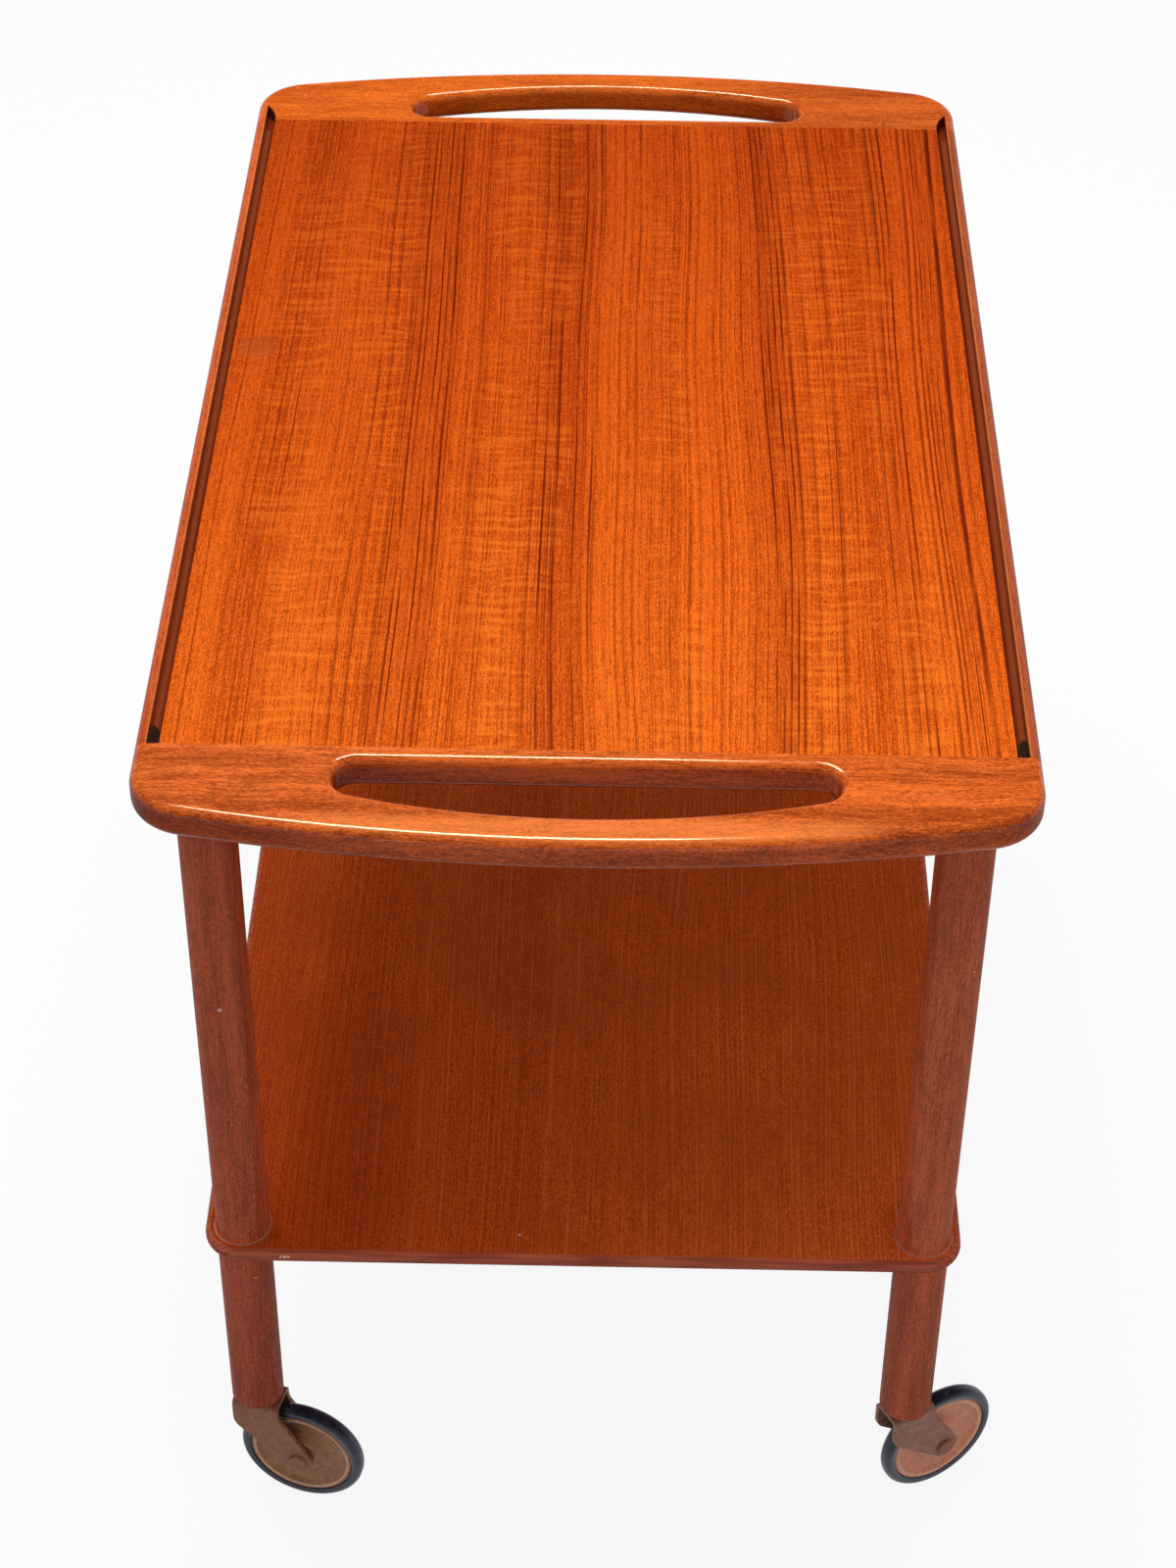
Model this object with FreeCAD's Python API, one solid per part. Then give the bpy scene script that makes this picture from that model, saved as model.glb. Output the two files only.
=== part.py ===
import FreeCAD, Part
import math
import os

# Two-tier serving trolley on four swivel casters, in millimetres.
# X runs across the trolley, Y along it with the front end at -Y, Z is up and the floor is Z = 0.

# Overall sizes: across and along the top, and floor to top surface
overall_width = 450.0
overall_length = 772.0
overall_height = 556.0
top_thickness = 18.0

# End handles: depth from the panel joint to the middle of the bowed end, bow and corner in plan
handle_depth = 71.0
bow_radius = 1030.0
corner_radius = 32.0
edge_radius = 5.5

# Hand slot in each handle: straight wall towards the panel, bowed wall towards the end
slot_length = 250.0
slot_width = 39.0
slot_inset = 10.0
slot_bow_radius = 455.0
slot_rim_radius = 5.0

# Long sides of the top: outer rail, groove beside the panel, groove run-out at the rear, stop at the front
side_rail_width = 6.0
groove_width = 6.5
groove_depth = 8.0
runout_length = 18.5
stop_length = 15.5
stop_recess = 1.5

# Hidden joinery of the top: loose tongues across the handle joints, small dowels at the lipping ends
tongue_thickness = 4.0
tongue_depth = 5.0
tongue_end_margin = 20.0
edge_dowel_diameter = 5.0
edge_dowel_depth = 12.0

# Legs: upper and lower turned posts with the shelf between them
leg_diameter = 30.0
leg_side_inset = 36.0
leg_end_inset = 50.0
tenon_diameter = 18.0
tenon_length = 11.0
leg_dowel_diameter = 12.0
leg_dowel_depth = 24.0
leg_foot_radius = 1.5

# Lower shelf
shelf_top_height = 227.0
shelf_thickness = 9.0
shelf_margin = 6.0
shelf_edge_radius = 4.0

# Casters: wheel, trail behind the swivel axis, floor to leg end, and the turn of each front caster in plan
wheel_diameter = 75.0
swivel_trail = 25.5
leg_end_height = 83.2
front_left_turn = -14.5
front_right_turn = 31.0
half_turn = 180.0

# Caster socket in the leg and the stem that turns in it
stem_diameter = 8.0
stem_length = 38.0
stem_tip_radius = 2.0
stem_ring_height = 6.0
stem_ring_width = 3.0
stem_ring_depth = 0.8
socket_wall = 1.45
socket_end_wall = 2.0
socket_flange_diameter = 22.0
socket_flange_thickness = 1.0
collar_diameter = 16.0
collar_thickness = 1.0
stem_head_diameter = 11.5
stem_head_thickness = 1.8

# Fork: one bent sheet, flat under the leg, with arms that lean back and narrow towards the axle
fork_sheet = 2.5
fork_bend_radius = 1.5
arm_root_length = 28.0
arm_root_offset = 1.0
arm_front_drop = 9.5
arm_back_drop = 19.5
arm_root_radius = 12.0
arm_end_radius = 7.5

# Axle rivet, wheel bush, two pressed discs and the tyre
axle_diameter = 6.0
rivet_head_diameter = 11.0
rivet_head_height = 2.2
bush_wall = 2.9
bush_end_gap = 0.4
tyre_width = 9.5
tyre_side_gap = 2.8
tyre_thickness = 6.0
tyre_bore_width = 8.6
disc_sheet = 1.2
disc_boss_gap = 1.0
disc_dish_height = 2.2
disc_rim_height = 4.3
disc_bend_radius = 1.5

# Radii of the disc's bends, as shares of the disc's radius: boss edge, dish foot, dish edge, rim foot
disc_boss_share = 0.38
disc_foot_share = 0.53
disc_dish_share = 0.80
disc_rim_share = 0.91

# Height of the tyre's widest ring and its shoulder, as shares of the tyre's thickness
tyre_bulge_share = 0.30
tyre_shoulder_share = 0.62

# Groove stop: straight part as a share of its length, outer rounding as a share of the groove
stop_straight_share = 0.35
stop_tip_share = 0.35

# Most of a side that one corner arc may take, and of a thin rail that its rounding may take
corner_limit_share = 0.49
rail_round_share = 0.92

# Fits: glued or pressed joints, running joints, flat running faces, blind hole ends, and the reach of a cut
glue_gap = 0.05
running_gap = 0.05
swivel_gap = 0.2
hole_end_gap = 0.5
overrun = 2.0

# Places worked out from the sizes above
half_width = overall_width / 2
half_length = overall_length / 2
top_z = overall_height
under_z = top_z - top_thickness
joint_y = half_length - handle_depth
groove_outer_x = half_width - side_rail_width
groove_inner_x = groove_outer_x - groove_width
groove_floor_z = top_z - groove_depth
tongue_z = under_z + top_thickness / 2
tongue_half_length = groove_inner_x - tongue_end_margin
edge_dowel_x = groove_inner_x + groove_width / 2
edge_dowel_z = (under_z + groove_floor_z) / 2
leg_radius = leg_diameter / 2
leg_x = half_width - leg_side_inset
leg_y = half_length - leg_end_inset
shelf_under_z = shelf_top_height - shelf_thickness
wheel_radius = wheel_diameter / 2
fork_half_gap = tyre_width / 2 + tyre_side_gap
arm_outer_y = fork_half_gap + fork_sheet
collar_top_z = leg_end_height - socket_flange_thickness - swivel_gap
crown_top_z = collar_top_z - collar_thickness
socket_bore_radius = stem_diameter / 2 + running_gap
socket_radius = socket_bore_radius + socket_wall
socket_bore_top_z = collar_top_z + stem_length + hole_end_gap
disc_radius = wheel_radius - tyre_thickness
bush_radius = axle_diameter / 2 + running_gap + bush_wall
bush_half_length = fork_half_gap - bush_end_gap

corners = {
    "front_left": (-leg_x, -leg_y, front_left_turn),
    "front_right": (leg_x, -leg_y, front_right_turn),
    "rear_left": (-leg_x, leg_y, front_right_turn + half_turn),
    "rear_right": (leg_x, leg_y, front_left_turn + half_turn),
}

origin = FreeCAD.Vector(0, 0, 0)
x_axis = FreeCAD.Vector(1, 0, 0)
y_axis = FreeCAD.Vector(0, 1, 0)
z_axis = FreeCAD.Vector(0, 0, 1)


def at_height(z):
    """Puts outline points (x, y) on the level plane at z."""
    return lambda u, v: FreeCAD.Vector(u, v, z)


def across(x):
    """Puts outline points (y, z) on the plane at x."""
    return lambda u, v: FreeCAD.Vector(x, u, v)


def along(y):
    """Puts outline points (x, z) on the plane at y."""
    return lambda u, v: FreeCAD.Vector(u, y, v)


def rounded_wire(outline, place):
    """Closed wire through corners (u, v, radius), each rounded as far as its two sides have room."""
    turns = []
    count = len(outline)
    for index, (u, v, radius) in enumerate(outline):
        here = FreeCAD.Vector(u, v, 0)
        back = FreeCAD.Vector(*outline[index - 1][:2], 0) - here
        ahead = FreeCAD.Vector(*outline[(index + 1) % count][:2], 0) - here
        room = corner_limit_share * min(back.Length, ahead.Length)
        back.normalize()
        ahead.normalize()
        half = back.getAngle(ahead) / 2
        reach = min(radius / math.tan(half), room)
        inward = back + ahead
        middle = here
        if reach > 0:
            inward.normalize()
            middle = here + inward * (reach / math.cos(half) - reach * math.tan(half))
        turns.append((here + back * reach, middle, here + ahead * reach, reach))
    edges = []
    for index, (start, middle, end, reach) in enumerate(turns):
        if reach > 0:
            edges.append(Part.Arc(place(*start[:2]), place(*middle[:2]), place(*end[:2])).toShape())
        follow = turns[(index + 1) % count][0]
        edges.append(Part.LineSegment(place(*end[:2]), place(*follow[:2])).toShape())
    return Part.Wire(edges)


def prism(wire, reach):
    """Solid from a closed flat wire pushed along a vector."""
    return Part.Face(wire).extrude(reach)


def block(low, high):
    """Box between two corners."""
    size = [b - a for a, b in zip(low, high)]
    return Part.makeBox(*size, FreeCAD.Vector(*low))


def rod(radius, start, end):
    """Cylinder from one point to another."""
    run = end - start
    return Part.makeCylinder(radius, run.Length, start, run)


def turned(outline):
    """Solid of revolution about Z from corners (radius, z, rounding)."""
    return Part.Face(rounded_wire(outline, along(0))).revolve(origin, z_axis, half_turn + half_turn)


def spun_on_axle(outline):
    """Solid of revolution about the wheel axle from corners (distance off the middle, radius, rounding)."""
    hub = FreeCAD.Vector(swivel_trail, 0, wheel_radius)
    shape = Part.Face(rounded_wire(outline, across(0))).revolve(origin, y_axis, half_turn + half_turn)
    shape.translate(hub)
    return shape


def flip(point):
    """The same point on the other side of the trolley's middle plane."""
    return FreeCAD.Vector(-point.x, point.y, point.z)


def handle_outline(z):
    """Plan of the front handle: straight joint edge, rounded corners and a bowed end."""
    bow_centre = FreeCAD.Vector(0, bow_radius - half_length, z)
    corner_x = half_width - corner_radius
    corner_y = bow_centre.y - math.sqrt((bow_radius - corner_radius) ** 2 - corner_x ** 2)
    bow_end = FreeCAD.Vector(half_width, -joint_y, z)
    corner_centre = FreeCAD.Vector(corner_x, corner_y, z)
    outward = corner_centre - bow_centre
    outward.normalize()
    between = outward + x_axis
    between.normalize()
    corner_start = FreeCAD.Vector(half_width, corner_y, z)
    corner_middle = corner_centre + between * corner_radius
    corner_end = corner_centre + outward * corner_radius
    bow_middle = FreeCAD.Vector(0, -half_length, z)
    return Part.Wire([
        Part.LineSegment(bow_end, corner_start).toShape(),
        Part.Arc(corner_start, corner_middle, corner_end).toShape(),
        Part.Arc(corner_end, bow_middle, flip(corner_end)).toShape(),
        Part.Arc(flip(corner_end), flip(corner_middle), flip(corner_start)).toShape(),
        Part.LineSegment(flip(corner_start), flip(bow_end)).toShape(),
        Part.LineSegment(flip(bow_end), bow_end).toShape(),
    ])


def slot_outline(z):
    """Plan of the front hand slot: a straight wall, a bowed wall, and round ends that touch both."""
    inner_y = -joint_y - slot_inset
    bow_centre = FreeCAD.Vector(0, inner_y - slot_width + slot_bow_radius, z)
    half_slot = slot_length / 2
    rise = bow_centre.y - inner_y
    slope = slot_bow_radius + rise - half_slot
    end_radius = math.sqrt(slope ** 2 + slot_bow_radius ** 2 - half_slot ** 2 - rise ** 2) - slope
    end_centre = FreeCAD.Vector(half_slot - end_radius, inner_y - end_radius, z)
    outward = end_centre - bow_centre
    outward.normalize()
    inner_end = FreeCAD.Vector(end_centre.x, inner_y, z)
    tip = FreeCAD.Vector(half_slot, end_centre.y, z)
    outer_end = end_centre + outward * end_radius
    bow_middle = FreeCAD.Vector(0, inner_y - slot_width, z)
    return Part.Wire([
        Part.Arc(inner_end, tip, outer_end).toShape(),
        Part.Arc(outer_end, bow_middle, flip(outer_end)).toShape(),
        Part.Arc(flip(outer_end), flip(tip), flip(inner_end)).toShape(),
        Part.LineSegment(flip(inner_end), inner_end).toShape(),
    ])


def level_edges(shape, left_sharp):
    """Edges in the top and under faces, apart from those that left_sharp picks by their box."""
    found = []
    for edge in shape.Edges:
        box = edge.BoundBox
        level = box.ZLength < glue_gap
        outside = min(abs(box.ZMin - top_z), abs(box.ZMin - under_z)) < glue_gap
        if level and outside and not left_sharp(box):
            found.append(edge)
    return found


def on_joint(box):
    """Whether an edge's box lies on the joint between the front handle and the panel."""
    return box.YMin > -joint_y - glue_gap


def off_slot(box):
    """Whether an edge's box reaches outside the front hand slot."""
    reach = slot_length / 2 + glue_gap
    inner_y = -joint_y - slot_inset + glue_gap
    outer_y = -joint_y - slot_inset - slot_width - glue_gap
    return box.XMin < -reach or box.XMax > reach or box.YMin < outer_y or box.YMax > inner_y


def plain_handle():
    """Front handle: bowed board with a rounded hand slot, tenon holes, a tongue groove and dowel holes."""
    board = prism(handle_outline(under_z), z_axis * top_thickness)
    board = board.makeFillet(edge_radius, level_edges(board, on_joint))
    slot = prism(slot_outline(under_z - overrun), z_axis * (top_thickness + overrun + overrun))
    board = board.cut(slot)
    board = board.makeFillet(slot_rim_radius, level_edges(board, off_slot))
    for side in (-1, 1):
        foot = FreeCAD.Vector(side * leg_x, -leg_y, under_z - overrun)
        roof = FreeCAD.Vector(side * leg_x, -leg_y, under_z + tenon_length + hole_end_gap)
        board = board.cut(rod(tenon_diameter / 2 + glue_gap, foot, roof))
        mouth = FreeCAD.Vector(side * edge_dowel_x, -joint_y + overrun, edge_dowel_z)
        end = FreeCAD.Vector(side * edge_dowel_x, -joint_y - edge_dowel_depth - hole_end_gap, edge_dowel_z)
        board = board.cut(rod(edge_dowel_diameter / 2 + glue_gap, mouth, end))
    return board.cut(tongue(glue_gap, hole_end_gap))


def tongue(side_gap, end_gap):
    """Loose tongue across the front joint, grown by its clearances where it serves as a cutter."""
    high = tongue_thickness / 2 + side_gap
    deep = tongue_depth + end_gap
    wide = tongue_half_length + end_gap
    low_corner = (-wide, -joint_y - deep, tongue_z - high)
    high_corner = (wide, -joint_y + deep, tongue_z + high)
    return block(low_corner, high_corner)


def to_rear(shape):
    """The same piece at the rear end."""
    return shape.mirror(origin, y_axis)


def to_left(shape):
    """The same piece on the left side."""
    return shape.mirror(origin, x_axis)


def rear_handle():
    """Rear handle: as the front one, with the two side grooves running out into it."""
    pocket = groove_runout()
    return to_rear(plain_handle()).cut(pocket).cut(to_left(pocket))


def sweep_across(start, end, z):
    """Arc that leaves start along the trolley and curves across to end, both given as (x, y)."""
    wide = end[0] - start[0]
    long = end[1] - start[1]
    radius = (wide ** 2 + long ** 2) / (wide + wide)
    half_sweep = math.atan2(long, abs(radius) - abs(wide)) / 2
    middle_x = start[0] + radius * (1 - math.cos(half_sweep))
    middle_y = start[1] + abs(radius) * math.sin(half_sweep)
    place = at_height(z)
    return Part.Arc(place(*start), place(middle_x, middle_y), place(*end)).toShape()


def groove_runout():
    """Pocket that carries the right side groove into the rear handle and closes towards the rail."""
    start = (groove_inner_x, joint_y)
    apex = (groove_outer_x, joint_y + runout_length)
    mouth_y = joint_y - overrun
    place = at_height(groove_floor_z)
    wire = Part.Wire([
        sweep_across(start, apex, groove_floor_z),
        Part.LineSegment(place(*apex), place(groove_outer_x, mouth_y)).toShape(),
        Part.LineSegment(place(groove_outer_x, mouth_y), place(groove_inner_x, mouth_y)).toShape(),
        Part.LineSegment(place(groove_inner_x, mouth_y), place(*start)).toShape(),
    ])
    return prism(wire, z_axis * (groove_depth + overrun))


def top_panel():
    """Flat board between the handles, grooved at both ends for the loose tongues."""
    board = block((-groove_inner_x, -joint_y, under_z), (groove_inner_x, joint_y, top_z))
    groove = tongue(glue_gap, hole_end_gap)
    return board.cut(groove).cut(to_rear(groove))


def edge_lipping():
    """Strip on the panel's right edge, kept low to form the floor of the side groove."""
    strip = block((groove_inner_x, -joint_y, under_z), (groove_outer_x, joint_y, groove_floor_z))
    for end in (-1, 1):
        mouth = FreeCAD.Vector(edge_dowel_x, end * (joint_y + overrun), edge_dowel_z)
        stop = FreeCAD.Vector(edge_dowel_x, end * (joint_y - edge_dowel_depth - hole_end_gap), edge_dowel_z)
        strip = strip.cut(rod(edge_dowel_diameter / 2 + glue_gap, mouth, stop))
    return strip


def side_rail():
    """Right outer strip of the top, rounded above and below like the handles."""
    rounding = min(edge_radius, rail_round_share * side_rail_width)
    strip = block((groove_outer_x, -joint_y, under_z), (half_width, joint_y, top_z))
    outer = [edge for edge in strip.Edges if edge.BoundBox.XMin > half_width - glue_gap]
    return strip.makeFillet(rounding, [edge for edge in outer if edge.BoundBox.ZLength < glue_gap])


def groove_stop():
    """Small block with a rounded end that closes the front end of the right side groove."""
    inner_x = groove_inner_x + glue_gap
    outer_x = groove_outer_x - glue_gap
    front_y = -joint_y + glue_gap
    apex = (outer_x - stop_tip_share * groove_width, front_y + stop_length)
    inner_bend = (inner_x, front_y + stop_straight_share * stop_length)
    outer_bend = (outer_x, apex[1] - stop_tip_share * groove_width)
    place = at_height(groove_floor_z)
    wire = Part.Wire([
        Part.LineSegment(place(outer_x, front_y), place(inner_x, front_y)).toShape(),
        Part.LineSegment(place(inner_x, front_y), place(*inner_bend)).toShape(),
        sweep_across(inner_bend, apex, groove_floor_z),
        sweep_across(outer_bend, apex, groove_floor_z),
        Part.LineSegment(place(*outer_bend), place(outer_x, front_y)).toShape(),
    ])
    return prism(wire, z_axis * (groove_depth - stop_recess))


def edge_dowels():
    """The four small dowels between the lippings and the handles."""
    pins = []
    for side in (-1, 1):
        for end in (-1, 1):
            start = FreeCAD.Vector(side * edge_dowel_x, end * (joint_y - edge_dowel_depth), edge_dowel_z)
            finish = FreeCAD.Vector(side * edge_dowel_x, end * (joint_y + edge_dowel_depth), edge_dowel_z)
            pins.append(rod(edge_dowel_diameter / 2, start, finish))
    return Part.makeCompound(pins)


def lower_shelf():
    """Shelf with rounded edges whose corners are centred on the legs, drilled for the leg dowels."""
    half_x = leg_x + leg_radius + shelf_margin
    half_y = leg_y + leg_radius + shelf_margin
    round_corner = leg_radius + shelf_margin
    outline = [
        (-half_x, -half_y, round_corner),
        (half_x, -half_y, round_corner),
        (half_x, half_y, round_corner),
        (-half_x, half_y, round_corner),
    ]
    board = prism(rounded_wire(outline, at_height(shelf_under_z)), z_axis * shelf_thickness)
    rim = [edge for edge in board.Edges if edge.BoundBox.ZLength < glue_gap]
    board = board.makeFillet(shelf_edge_radius, rim)
    for x, y, turn in corners.values():
        start = FreeCAD.Vector(x, y, shelf_under_z - overrun)
        end = FreeCAD.Vector(x, y, shelf_top_height + overrun)
        board = board.cut(rod(leg_dowel_diameter / 2 + glue_gap, start, end))
    return board


def upper_leg():
    """Post from the shelf to the handle, with a tenon above and a dowel hole below."""
    hole_radius = leg_dowel_diameter / 2 + glue_gap
    hole_top = shelf_top_height + leg_dowel_depth + hole_end_gap
    return turned([
        (hole_radius, shelf_top_height, 0),
        (leg_radius, shelf_top_height, 0),
        (leg_radius, under_z, 0),
        (tenon_diameter / 2, under_z, 0),
        (tenon_diameter / 2, under_z + tenon_length, 0),
        (0, under_z + tenon_length, 0),
        (0, hole_top, 0),
        (hole_radius, hole_top, 0),
    ])


def lower_leg():
    """Post below the shelf, with a dowel hole above and the bore for the caster socket below."""
    dowel_hole = leg_dowel_diameter / 2 + glue_gap
    dowel_floor = shelf_under_z - leg_dowel_depth - hole_end_gap
    socket_hole = socket_radius + glue_gap
    socket_roof = socket_bore_top_z + socket_end_wall + hole_end_gap
    return turned([
        (socket_hole, leg_end_height, 0),
        (leg_radius, leg_end_height, leg_foot_radius),
        (leg_radius, shelf_under_z, 0),
        (dowel_hole, shelf_under_z, 0),
        (dowel_hole, dowel_floor, 0),
        (0, dowel_floor, 0),
        (0, socket_roof, 0),
        (socket_hole, socket_roof, 0),
    ])


def leg_dowels():
    """The four dowels that pass through the shelf and join each upper leg to its lower leg."""
    pins = []
    for x, y, turn in corners.values():
        start = FreeCAD.Vector(x, y, shelf_under_z - leg_dowel_depth)
        end = FreeCAD.Vector(x, y, shelf_top_height + leg_dowel_depth)
        pins.append(rod(leg_dowel_diameter / 2, start, end))
    return Part.makeCompound(pins)


def caster_socket():
    """Flanged metal sleeve, closed at the top, pressed into the leg end."""
    flange_z = leg_end_height - socket_flange_thickness
    return turned([
        (socket_bore_radius, flange_z, 0),
        (socket_flange_diameter / 2, flange_z, 0),
        (socket_flange_diameter / 2, leg_end_height, 0),
        (socket_radius, leg_end_height, 0),
        (socket_radius, socket_bore_top_z + socket_end_wall, 0),
        (0, socket_bore_top_z + socket_end_wall, 0),
        (0, socket_bore_top_z, 0),
        (socket_bore_radius, socket_bore_top_z, 0),
    ])


def caster_stem():
    """Stem with a collar on the crown, a riveted head below it and a retaining groove near the tip."""
    radius = stem_diameter / 2
    tip_z = collar_top_z + stem_length
    ring_top = tip_z - stem_ring_height
    ring_low = ring_top - stem_ring_width
    under_crown = crown_top_z - fork_sheet
    return turned([
        (0, under_crown - stem_head_thickness, 0),
        (stem_head_diameter / 2, under_crown - stem_head_thickness, stem_head_thickness),
        (stem_head_diameter / 2, under_crown, 0),
        (radius, under_crown, 0),
        (radius, crown_top_z, 0),
        (collar_diameter / 2, crown_top_z, 0),
        (collar_diameter / 2, collar_top_z, 0),
        (radius, collar_top_z, 0),
        (radius, ring_low, 0),
        (radius - stem_ring_depth, ring_low, 0),
        (radius - stem_ring_depth, ring_top, 0),
        (radius, ring_top, 0),
        (radius, tip_z, stem_tip_radius),
        (0, tip_z, 0),
    ])


def caster_fork():
    """Fork: a bent sheet with a flat crown and two arms that lean back to the axle."""
    reach = arm_root_length + swivel_trail
    channel = prism(rounded_wire(channel_outline(), across(-reach)), x_axis * (reach + reach))
    side_reach = arm_outer_y + overrun
    profile = prism(rounded_wire(arm_outline(), along(-side_reach)), y_axis * (side_reach + side_reach))
    stem_hole = rod(stem_diameter / 2 + glue_gap, origin, FreeCAD.Vector(0, 0, leg_end_height))
    axle_start = FreeCAD.Vector(swivel_trail, -side_reach, wheel_radius)
    axle_end = FreeCAD.Vector(swivel_trail, side_reach, wheel_radius)
    axle_hole = rod(axle_diameter / 2 + glue_gap, axle_start, axle_end)
    return channel.common(profile).cut(stem_hole).cut(axle_hole)


def channel_outline():
    """Section of the bent sheet, outside then inside: flat above, with two straight arms."""
    low = wheel_radius - arm_end_radius - overrun
    outer = [
        (arm_outer_y, low, 0),
        (arm_outer_y, crown_top_z, fork_bend_radius + fork_sheet),
        (-arm_outer_y, crown_top_z, fork_bend_radius + fork_sheet),
        (-arm_outer_y, low, 0),
    ]
    inner = [
        (-fork_half_gap, low, 0),
        (-fork_half_gap, crown_top_z - fork_sheet, fork_bend_radius),
        (fork_half_gap, crown_top_z - fork_sheet, fork_bend_radius),
        (fork_half_gap, low, 0),
    ]
    return outer + inner


def arm_outline():
    """Side view of the bent sheet: a root under the crown, then arms tapering to the axle."""
    back_x = arm_root_offset - arm_root_length / 2
    front_x = arm_root_offset + arm_root_length / 2
    front_z = crown_top_z - arm_front_drop
    back_z = crown_top_z - arm_back_drop
    axle = FreeCAD.Vector(swivel_trail, 0, wheel_radius)
    lean = axle - FreeCAD.Vector(0, 0, (front_z + back_z) / 2)
    lean.normalize()
    across_arm = FreeCAD.Vector(-lean.z, 0, lean.x)
    end = axle + lean * arm_end_radius
    upper = end + across_arm * arm_end_radius
    lower = end - across_arm * arm_end_radius
    return [
        (back_x, crown_top_z, 0),
        (back_x, back_z, arm_root_radius),
        (lower.x, lower.z, arm_end_radius),
        (upper.x, upper.z, arm_end_radius),
        (front_x, front_z, arm_root_radius),
        (front_x, crown_top_z, 0),
    ]


def axle_rivet():
    """Rivet through both arms and the bush, with a low domed head on each side."""
    radius = axle_diameter / 2
    head = rivet_head_diameter / 2
    reach = arm_outer_y + rivet_head_height
    return spun_on_axle([
        (-reach, 0, 0),
        (-reach, head, rivet_head_height),
        (-arm_outer_y, head, 0),
        (-arm_outer_y, radius, 0),
        (arm_outer_y, radius, 0),
        (arm_outer_y, head, 0),
        (reach, head, rivet_head_height),
        (reach, 0, 0),
    ])


def wheel_bush():
    """Sleeve that runs on the rivet and carries the two discs."""
    bore = axle_diameter / 2 + running_gap
    return spun_on_axle([
        (-bush_half_length, bore, 0),
        (-bush_half_length, bush_radius, 0),
        (bush_half_length, bush_radius, 0),
        (bush_half_length, bore, 0),
    ])


def wheel_disc(side):
    """One pressed disc: flat boss on the bush, dished web, raised rim and a flange that seats the tyre."""
    bore = bush_radius + glue_gap
    boss = bush_half_length - disc_boss_gap
    boss_edge = disc_boss_share * disc_radius
    dish_foot = disc_foot_share * disc_radius
    dish_edge = disc_dish_share * disc_radius
    rim_foot = disc_rim_share * disc_radius
    face = [
        (boss, bore, 0),
        (boss, boss_edge, disc_bend_radius),
        (disc_dish_height, dish_foot, disc_bend_radius),
        (disc_dish_height, dish_edge, disc_bend_radius),
        (disc_rim_height, rim_foot, disc_bend_radius),
        (disc_rim_height, disc_radius, disc_bend_radius),
        (0, disc_radius, 0),
    ]
    back = [
        (0, disc_radius - disc_sheet, 0),
        (disc_rim_height - disc_sheet, disc_radius - disc_sheet, 0),
        (disc_rim_height - disc_sheet, rim_foot, 0),
        (disc_dish_height - disc_sheet, dish_edge, disc_bend_radius),
        (disc_dish_height - disc_sheet, dish_foot, disc_bend_radius),
        (boss - disc_sheet, boss_edge, 0),
        (boss - disc_sheet, bore, 0),
    ]
    return spun_on_axle([(side * height, radius, rounding) for height, radius, rounding in face + back])


def tyre():
    """Solid rubber tyre with bulging sides and a crowned tread."""
    bore = disc_radius + glue_gap
    bulge = disc_radius + tyre_bulge_share * tyre_thickness
    shoulder = disc_radius + tyre_shoulder_share * tyre_thickness
    half = tyre_width / 2
    half_bore = tyre_bore_width / 2
    tread = half - (wheel_radius - shoulder)
    return spun_on_axle([
        (-half_bore, bore, 0),
        (-half, bulge, tyre_width),
        (-half, shoulder, tyre_width),
        (-tread, wheel_radius, tyre_width),
        (tread, wheel_radius, tyre_width),
        (half, shoulder, tyre_width),
        (half, bulge, tyre_width),
        (half_bore, bore, 0),
    ])


def placed(shape, corner):
    """A copy of a caster or leg piece, turned and carried to its corner of the trolley."""
    x, y, turn = corners[corner]
    copy = shape.copy()
    copy.rotate(origin, z_axis, turn)
    copy.translate(FreeCAD.Vector(x, y, 0))
    return copy


def build():
    """Every node of the trolley by name."""
    front_tongue = tongue(0, 0)
    nodes = {
        "top_panel": top_panel(),
        "front_handle": plain_handle(),
        "rear_handle": rear_handle(),
        "front_tongue": front_tongue,
        "rear_tongue": to_rear(front_tongue),
        "edge_dowels": edge_dowels(),
        "lower_shelf": lower_shelf(),
        "leg_dowels": leg_dowels(),
    }
    side_pieces = {
        "side_rail": side_rail(),
        "edge_lipping": edge_lipping(),
        "groove_stop": groove_stop(),
    }
    for piece, shape in side_pieces.items():
        nodes["right_" + piece] = shape
        nodes["left_" + piece] = to_left(shape)
    corner_pieces = {
        "upper_leg": upper_leg(),
        "lower_leg": lower_leg(),
        "caster_socket": caster_socket(),
        "caster_stem": caster_stem(),
        "caster_fork": caster_fork(),
        "axle_rivet": axle_rivet(),
        "wheel_bush": wheel_bush(),
        "wheel_disc_left": wheel_disc(1),
        "wheel_disc_right": wheel_disc(-1),
        "tyre": tyre(),
    }
    for corner in corners:
        for piece, shape in corner_pieces.items():
            nodes[corner + "_" + piece] = placed(shape, corner)
    return nodes


os.makedirs("parts", exist_ok=True)
for name, shape in build().items():
    shape.exportStep("parts/" + name + ".step")
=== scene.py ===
"""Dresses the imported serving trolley: lacquered teak, aged bronze casters, pale studio."""
import math
from functools import reduce

import bpy
from mathutils import Matrix, Vector

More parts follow.
